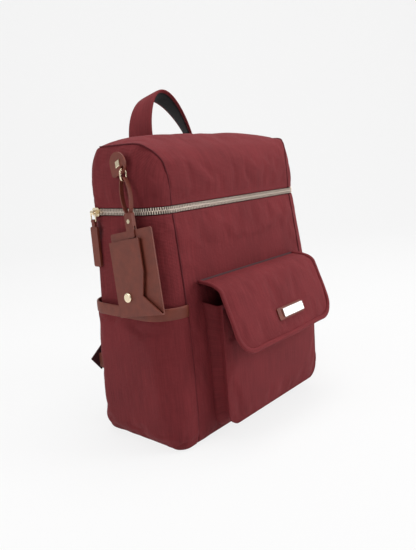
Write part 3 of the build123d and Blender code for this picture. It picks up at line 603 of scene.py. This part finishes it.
def teeth_row(name, middle_z, shift):
    shell = bmesh.new()
    chain_length = 0.2515
    count = int(chain_length / tooth_pitch)
    for step in range(-count, count):
        length = (step + shift) * tooth_pitch
        place, along = chain_place(abs(length))
        if length < 0:
            place.x, along.x = -place.x, -along.x
        out = Vector((-along.y, along.x, 0))
        out = -out if out.dot(place) < 0 else out
        turn = Matrix((along, out, Vector((0, 0, 1)))).transposed().to_4x4()
        turn.translation = place + Vector((0, 0, middle_z)) - out * 0.0004
        size = Matrix.Diagonal((tooth_width, tooth_depth, tooth_height, 1))
        bmesh.ops.create_cube(shell, size=1.0, matrix=turn @ size)
    bmesh.ops.recalc_face_normals(shell, faces=shell.faces)
    bmesh.ops.bevel(shell, geom=list(shell.edges), offset=0.0003, segments=1, affect="EDGES")
    mesh = bpy.data.meshes.new(name)
    shell.to_mesh(mesh)
    shell.free()
    row = bpy.data.objects.new(name, mesh)
    bpy.context.scene.collection.objects.link(row)
    return row


upper_teeth = teeth_row("upper_teeth", zip_z + 0.0017, 0.0)
dress(upper_teeth, teeth_finish, "lid", ["zipper_teeth_upper"])
lower_teeth = teeth_row("lower_teeth", zip_z - 0.0017, 0.5)
dress(lower_teeth, teeth_finish, "bag", ["zipper_teeth_lower"])

# ---- Grab handle ---------------------------------------------------------------------------------
# A wide soft loop sewn into the lid's back edge, off centre and leaning back: burgundy cloth with
# rolled edges outside, a near-black lining inside. Its legs twist apart as they reach the lid.
loop_place = Vector((-0.022, 0.047, 0.374))
loop_half, loop_rise, loop_lean, loop_width = 0.0500, 0.0715, math.radians(14), 0.037


def loop_spine(inset):
    def spine(t):
        angle = math.pi * t
        arch = math.sin(angle)
        x = -(loop_half - inset) * math.cos(angle) * (1 - 0.20 * arch)
        height = (loop_rise - inset) * arch ** 0.92
        return loop_place + Vector((x, height * math.sin(loop_lean), height * math.cos(loop_lean)))
    return spine


def loop_side(t):
    return Vector((-0.35 + 1.15 * t ** 1.5, math.cos(loop_lean), -math.sin(loop_lean)))


def loop_section(t):
    return flat_section(loop_width, 0.0048, 26, 5.0)


def loop_lining_section(t):
    return flat_section(loop_width - 0.009, 0.0030, 22, 6.0)


handle = ribbon("handle_cloth", loop_spine(0.0), loop_side, loop_section, 72)
dress(handle, burgundy, "lid", ["grab_handle"])
handle_lining = ribbon("handle_lining_cloth", loop_spine(0.0021), loop_side, loop_lining_section, 72)
dress(handle_lining, lining, "lid", ["grab_handle_lining"])

# ---- Front pocket --------------------------------------------------------------------------------
# A boxed pocket: a cloth face, a bellows gusset folded in along its depth, and a bound mouth.
face_half, face_y, face_foot, face_top, face_round = 0.106, -0.1025, 0.0175, 0.174, 0.020
mouth_top = 0.178
bellows = 0.0058


def rounded_half(half, above_foot, radius):
    """Half the width of an outline with rounded lower corners, at a height above its foot."""
    if above_foot >= radius:
        return half
    return half - radius + math.sqrt(max(radius ** 2 - (radius - above_foot) ** 2, 0))


def pocket_face(u, v):
    z = face_foot + (face_top - face_foot) * v
    half = rounded_half(face_half, z - face_foot, face_round)
    fullness = math.sin(math.pi * u) ** 0.6 * math.sin(math.pi * v) ** 0.7
    return Vector(((2 * u - 1) * half, face_y + 0.0005 - 0.002 * fullness, z))


def outline_walk():
    points = [(-face_half, 0, mouth_top - 0.048 * k) for k in range(3)]
    for k in range(7):
        angle = math.pi / 2 * k / 6
        points.append((-face_half + face_round * (1 - math.cos(angle)), 0,
                       face_foot + face_round * (1 - math.sin(angle))))
    points += [(-0.045, 0, face_foot), (0, 0, face_foot)]
    return smooth_line(points + [(-x, y, z) for x, y, z in reversed(points[:-1])])


pocket_outline = outline_walk()


def gusset_surface(u, v):
    edge = pocket_outline(u)
    lower = max(0.0, 1 - (edge.z - face_foot) / 0.05)
    z = edge.z - 0.009 * v * lower
    y = face_y + (tub_front(max(z, foot_round)) - 0.0005 - face_y) * v
    inwards = Vector((-edge.x, 0, 0.10 - edge.z)).normalized()
    fold = bellows * (math.sin(math.tau * v - 0.6) * 0.5 + 0.5) * math.sin(math.pi * v) ** 0.5
    crease = noise.noise(Vector((u * 22, v * 4, 0))) * 0.0012 * math.sin(math.pi * v)
    return Vector((edge.x, y, z)) + inwards * (fold + crease)


pocket_panel = make_panel("pocket_face_cloth", pocket_face, 48, 40, (0.212, 0.157))
fill_out(pocket_panel, 1.6, 0.012, 0.0035)
finish_cloth(pocket_panel, burgundy, 0.0018, "bag", ["pocket_front"])
gusset = make_panel("pocket_gusset_cloth", gusset_surface, 120, 18, (0.5, 0.034), flip=True)
finish_cloth(gusset, burgundy, 0.0014, "bag", ["pocket_gusset"])


def mouth_line(t):
    return Vector(((2 * t - 1) * face_half, -0.1028, 0.1752))


def mouth_section(t):
    return flat_section(0.0062, 0.0030, 14, 3.0)


# The pocket's mouth binding takes the seam cloth, whose darker tone is painted shade.
mouth_binding = ribbon("pocket_mouth_binding", mouth_line, upwards, mouth_section, 24)
dress(mouth_binding, seam_cloth_painted_shade, "bag", ["pocket_binding"])

# ---- Flap ----------------------------------------------------------------------------------------
# The flap hinges on its seam with the front panel, runs forward, turns and hangs over the pocket's
# mouth. Cloth over a stiff felt, lined in black, with a bound edge and two rounded corners.
flap_half, flap_round = 0.1065, 0.026
flap_profile = smooth_line([
    (0, -0.0692, 0.2040), (0, -0.080, 0.2044), (0, -0.0905, 0.2040), (0, -0.0992, 0.2008),
    (0, -0.1046, 0.1945), (0, -0.115, 0.1670), (0, -0.1240, 0.1430), (0, -0.1325, 0.1185)])


def flap_surface(u, v):
    spine = flap_profile(v)
    half = rounded_half(flap_half, (1 - v) * flap_profile.length, flap_round)
    aside = abs(2 * u - 1)
    droop = 0.0035 * aside ** 6 * math.sin(math.pi * min(v / 0.62, 1.0)) ** 1.0
    wave = 0.0012 * math.sin(u * 7.5 + 0.8) * v ** 2
    return Vector(((2 * u - 1) * half, spine.y + wave, spine.z - droop))


def under_patch(co):
    """The flap stays flat under its patch and along its hinged run."""
    return co.z > 0.2012 or (abs(co.x - 0.0085) < 0.031 and abs(co.z - 0.146) < 0.011)


flap_cloth = make_panel("flap_cloth", flap_surface, 50, 34, (0.21, 0.122), flip=True)
fill_out(flap_cloth, 1.2, 0.008, 0.0025, held=under_patch)
finish_cloth(flap_cloth, burgundy, 0.0020, "flap", ["flap_panel"])


def flap_under(u, v):
    above = flap_surface(0.02 + 0.96 * u, 0.98 * v)
    return above + Vector((0, 0.0026 * v ** 0.3, -0.0026 * (1 - v) ** 0.5))


under_cloth = make_panel("flap_lining_cloth", flap_under, 40, 28, (0.2, 0.12), flip=True)
finish_cloth(under_cloth, lining, 0.0006, "flap", ["flap_lining"])

flap_edge_points = [flap_surface(0, k / 14) for k in range(14)]
flap_edge_points += [flap_surface(0, 1 - (1 - k / 6) ** 3 / 14) for k in range(1, 7)]
flap_edge_points += [flap_surface(k / 12, 1) for k in range(1, 12)]
flap_edge_points += [Vector((-point.x, point.y, point.z)) for point in reversed(flap_edge_points[:20])]
flap_edge = smooth_line(flap_edge_points, 6)


def to_flap_middle(t):
    return Vector((0, -0.112, 0.172)) - flap_edge(t)


def edge_section(t):
    return flat_section(0.0062, 0.0046, 16, 3.0)


flap_rim = ribbon("flap_edge_binding", flap_edge, to_flap_middle, edge_section, 150)
dress(flap_rim, burgundy, "flap", ["flap_binding"])

# ---- Side pockets --------------------------------------------------------------------------------
# A slack cloth pocket on each side, sewn in at the corner seams and the base, with a leather trim
# round its open mouth. Its spare cloth gathers low down.
pocket_low, pocket_high = 0.0035, 0.1775
mouth_out, foot_out, pocket_pinch, pinch_height = 0.0098, 0.0048, 0.0060, 0.017


def side_pocket_place(u, z, extra=0.0):
    share = (z - pocket_low) / (pocket_high - pocket_low)
    pinch = pocket_pinch * max(0.0, 1 - (z - pocket_low) / (pinch_height - pocket_low)) ** 1.5
    fade = math.sin(math.pi * min(max(u, 0), 1)) ** 0.35
    out = (foot_out + (mouth_out - foot_out) * share + extra) * fade
    half = tub_half(z)
    x, y = side_outline(half + out - pinch, tub_front(z) - 0.0014 + pinch,
                        tub_back(z) + 0.0014 - pinch, tub_corner(z) + out - pinch,
                        corner_back + out - pinch, half - seam_inset, u)
    return Vector((x, y, z))


def side_pocket_surface(u, v):
    return side_pocket_place(u, pocket_low + (pocket_high - pocket_low) * v)


side_bag = make_panel("side_pocket_cloth_left", side_pocket_surface, 50, 52, (0.21, 0.175), flip=True)
fill_out(side_bag, 0.9, 0.022, 0.0045, held=lambda co: co.z > 0.166)
side_bag_right = mirrored(side_bag, "side_pocket_cloth_right")
finish_cloth(side_bag, burgundy, 0.0015, "bag", ["side_pocket_left"])
finish_cloth(side_bag_right, burgundy, 0.0015, "bag", ["side_pocket_right"])


def trim_line(t):
    return side_pocket_place(t, 0.1735, 0.0006)


def trim_section(t):
    return flat_section(0.0150, 0.0032, 18, 5.0)


for side_name in ("left", "right"):
    trim = ribbon("trim_leather_" + side_name, trim_line, upwards, trim_section, 64)
    if side_name == "right":
        trim.data.transform(Matrix.Scale(-1, 4, (1, 0, 0)))
        trim.data.flip_normals()
    dress(trim, leather, "bag", ["pocket_trim_" + side_name])

# ---- Back, base and straps -----------------------------------------------------------------------
# The padded back is open knit over foam in three channels, the base a coated cloth. Two shoulder
# straps hang from the back, padded, knit inside and burgundy outside.
back_knit = cloth_material("back_knit", (0.012, 0.011, 0.012), (0.050, 0.045, 0.048), yarn=0.0024,
                           heather=0.3, bump=0.0006)


def back_surface(u, v):
    z = 0.004 + (zip_z - 0.0005 - 0.004) * v
    half = tub_half(z) - seam_inset
    pads = abs(math.sin(3 * math.pi * u)) ** 0.5 * abs(math.sin(4 * math.pi * v)) ** 0.35
    edge = min(1.0, 12 * min(u, 1 - u), 12 * min(v, 1 - v))
    return Vector(((2 * u - 1) * half, tub_back(z) - 0.002 + 0.0035 * pads * edge, z))


back_pad = make_panel("back_pad_cloth", back_surface, 72, 84, (0.268, 0.29), flip=True)
finish_cloth(back_pad, back_knit, 0.004, "bag", ["back_panel"])

base_cloth = cloth_material("base_cloth", (0.030, 0.007, 0.009), (0.080, 0.018, 0.024), yarn=0.0018)


def base_surface(u, v):
    a, b = 2 * u - 1, 2 * v - 1
    wide, deep = a * math.sqrt(1 - b * b * 0.10), b * math.sqrt(1 - a * a * 0.14)
    far = max(abs(a), abs(b))
    return Vector((wide * (foot_half - 0.006), deep * (foot_back - 0.006),
                   0.0006 + 0.004 * far ** 14))


base = make_panel("base_cloth_panel", base_surface, 40, 24, (0.33, 0.148), flip=True)
finish_cloth(base, base_cloth, 0.0016, "bag", ["base_panel"])

strap_middle = smooth_line([
    (-0.050, 0.0745, 0.281), (-0.0515, 0.083, 0.264), (-0.0545, 0.0945, 0.240),
    (-0.058, 0.1020, 0.215), (-0.064, 0.1050, 0.185), (-0.073, 0.1042, 0.155),
    (-0.082, 0.1010, 0.131)])


def strap_across(t):
    return Vector((1, 0, -0.25 * t))


def strap_section(t):
    taper = 1 - 0.42 * max(0.0, (t - 0.84) / 0.16) ** 1.5
    return flat_section(0.0565 * taper, 0.0085, 24, 5.0)


def strap_face_section(t):
    taper = 1 - 0.42 * max(0.0, (t - 0.84) / 0.16) ** 1.5
    return [(a, b - 0.0006) for a, b in flat_section(0.0470 * taper, 0.0088, 22, 5.0)]


for side_name in ("left", "right"):
    strap = ribbon("strap_" + side_name, strap_middle, strap_across, strap_section, 56)
    strap_face = ribbon("strap_knit_" + side_name, strap_middle, strap_across, strap_face_section, 56)
    for piece in (strap, strap_face):
        if side_name == "right":
            piece.data.transform(Matrix.Scale(-1, 4, (1, 0, 0)))
            piece.data.flip_normals()
    dress(strap, burgundy, "bag", ["shoulder_strap_" + side_name])
    dress(strap_face, back_knit, "bag")

# ---- Hardware and inner pieces -------------------------------------------------------------------
# Pieces whose exact shape carries the look keep it: metal, leather, webbing, plastic and lining.
webbing = plain_material("webbing_tape", (0.085, 0.018, 0.024), 0.75, grain=0.0005, grain_size=1400.0,
                         deep=(0.045, 0.010, 0.013))
plain_lining = plain_material("inner_lining", (0.030, 0.030, 0.032), 0.8, grain=0.0002,
                              deep=(0.010, 0.010, 0.012))
tape_cloth = plain_material("zipper_tape", (0.070, 0.014, 0.019), 0.8, grain=0.0003,
                            deep=(0.036, 0.008, 0.011))
plate_metal = plain_material("plate_metal", (0.93, 0.91, 0.90), 0.28, metal=1.0)
plastic = plain_material("buckle_plastic", (0.020, 0.018, 0.019), 0.35, grain=0.00005)
board = plain_material("base_board", (0.035, 0.035, 0.037), 0.6, grain=0.0001)
card = plain_material("card_paper", (0.72, 0.69, 0.63), 0.7, grain=0.0001)
steel = plain_material("magnet_steel", (0.55, 0.55, 0.57), 0.3, metal=1.0, grain=0.00002)
finishes = (
    (gold, ("zip_slider", "zip_bail", "tag_ring", "tag_stud", "tag_rivet", "tag_snap")),
    (leather, ("zip_pull", "tag_leather", "tag_thong", "tag_tab", "tag_tab_base", "flap_patch",
               "wing_tip_left", "wing_tip_right")),
    (plate_metal, ("nameplate",)),
    (webbing, ("webbing_left", "webbing_right", "strap_anchor", "strap_wing_left",
               "strap_wing_right")),
    (tape_cloth, ("zipper_tape_lower", "zipper_tape_upper", "hinge_cord", "flap_cord")),
    (plain_lining, ("laptop_sleeve", "slip_pocket")),
    (plastic, ("strap_buckle_left", "strap_buckle_right")),
    (board, ("base_board",)), (card, ("tag_card",)), (steel, ("pocket_magnet", "flap_magnet")),
)
for material, names in finishes:
    for name in names:
        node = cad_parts[name]
        node.data.materials.clear()
        node.data.materials.append(material)

# ---- Studio ------------------------------------------------------------------------------------
# A pale seamless sweep, two tall softboxes at the bag's sides, one over it, and the camera at
# about a quarter turn, a little above the bag and slightly rolled.
backdrop_tone = 0.975
camera_azimuth, camera_elevation, camera_roll = -48.7, 11.5, -4.2
camera_distance = 0.823
aim = Vector((0, 0, 0.19))
aim_shift = (-0.007, -0.004)
camera_lens = 37.18

turn, lift, roll = (math.radians(a) for a in (camera_azimuth, camera_elevation, camera_roll))
back_axis = Vector((math.sin(turn) * math.cos(lift), -math.cos(turn) * math.cos(lift),
                    math.sin(lift)))
right_axis = Vector((math.cos(turn), math.sin(turn), 0))
up_axis = back_axis.cross(right_axis)
place = (aim + right_axis * aim_shift[0] + up_axis * aim_shift[1] + back_axis * camera_distance)
rolled_right = right_axis * math.cos(roll) + up_axis * math.sin(roll)
rolled_up = up_axis * math.cos(roll) - right_axis * math.sin(roll)
camera_data = bpy.data.cameras.new("camera")
camera_data.lens = camera_lens
camera_data.sensor_width = 36
camera_data.clip_start = 0.05
camera = bpy.data.objects.new("camera", camera_data)
camera.matrix_world = Matrix((
    (rolled_right.x, rolled_up.x, back_axis.x, place.x),
    (rolled_right.y, rolled_up.y, back_axis.y, place.y),
    (rolled_right.z, rolled_up.z, back_axis.z, place.z),
    (0, 0, 0, 1)))
bpy.context.scene.collection.objects.link(camera)
bpy.context.scene.camera = camera

paper = bpy.data.materials.new("backdrop_paper")
paper.use_nodes = True
tree = paper.node_tree
lit = tree.nodes["Principled BSDF"]
lit.inputs["Base Color"].default_value = (0.9, 0.9, 0.9, 1)
lit.inputs["Roughness"].default_value = 0.9
glow = add_node(tree.nodes, "ShaderNodeEmission")
glow.inputs["Color"].default_value = (backdrop_tone, backdrop_tone, backdrop_tone, 1)
seen_by = add_node(tree.nodes, "ShaderNodeLightPath")
share = math_node(tree, "MAXIMUM", seen_by.outputs["Is Camera Ray"], seen_by.outputs["Is Glossy Ray"])
share = math_node(tree, "MULTIPLY", share, 0.84)
blend = add_node(tree.nodes, "ShaderNodeMixShader")
tree.links.new(share, blend.inputs[0])
tree.links.new(lit.outputs[0], blend.inputs[1])
tree.links.new(glow.outputs[0], blend.inputs[2])
tree.links.new(blend.outputs[0], tree.nodes["Material Output"].inputs["Surface"])

sweep = bmesh.new()
profile = [sweep.verts.new((0, -4, 0)), sweep.verts.new((0, 1.6, 0))]
bend_steps = 16
for step in range(1, bend_steps + 1):
    angle = step / bend_steps * math.pi / 2
    profile.append(sweep.verts.new((0, 1.6 + math.sin(angle), 1 - math.cos(angle))))
profile.append(sweep.verts.new((0, 2.6, 5)))
edges = [sweep.edges.new(pair) for pair in zip(profile, profile[1:])]
made = bmesh.ops.extrude_edge_only(sweep, edges=edges)
side_verts = [item for item in made["geom"] if isinstance(item, bmesh.types.BMVert)]
bmesh.ops.translate(sweep, verts=side_verts, vec=(12, 0, 0))
bmesh.ops.translate(sweep, verts=sweep.verts, vec=(-6, 0, -0.0005))
bmesh.ops.rotate(sweep, verts=sweep.verts, cent=(0, 0, 0), matrix=Matrix.Rotation(turn, 3, "Z"))
sweep_mesh = bpy.data.meshes.new("backdrop")
sweep.to_mesh(sweep_mesh)
sweep.free()
sweep_mesh.polygons.foreach_set("use_smooth", [True] * len(sweep_mesh.polygons))
sweep_mesh.materials.append(paper)
backdrop = bpy.data.objects.new("backdrop", sweep_mesh)
bpy.context.scene.collection.objects.link(backdrop)


def softbox(name, position, width, height, watts):
    lamp = bpy.data.lights.new(name, "AREA")
    lamp.shape = "RECTANGLE"
    lamp.size, lamp.size_y = width, height
    lamp.energy = watts
    holder = bpy.data.objects.new(name, lamp)
    holder.location = position
    towards = Vector((0, 0, 0.2)) - Vector(position)
    holder.rotation_euler = towards.to_track_quat("-Z", "Y").to_euler()
    bpy.context.scene.collection.objects.link(holder)


softbox("side_box", (-1.6, 0.7, 0.9), 0.7, 1.2, 8)
softbox("front_box", (1.1, -1.5, 0.9), 0.8, 1.2, 19)
softbox("top_box", (0.1, -0.1, 1.9), 1.0, 1.0, 20)

world = bpy.data.worlds.new("studio")
bpy.context.scene.world = world
world.use_nodes = True
world.node_tree.nodes["Background"].inputs["Color"].default_value = (1, 1, 1, 1)
world.node_tree.nodes["Background"].inputs["Strength"].default_value = 0.35
bpy.context.scene.view_settings.view_transform = "Standard"
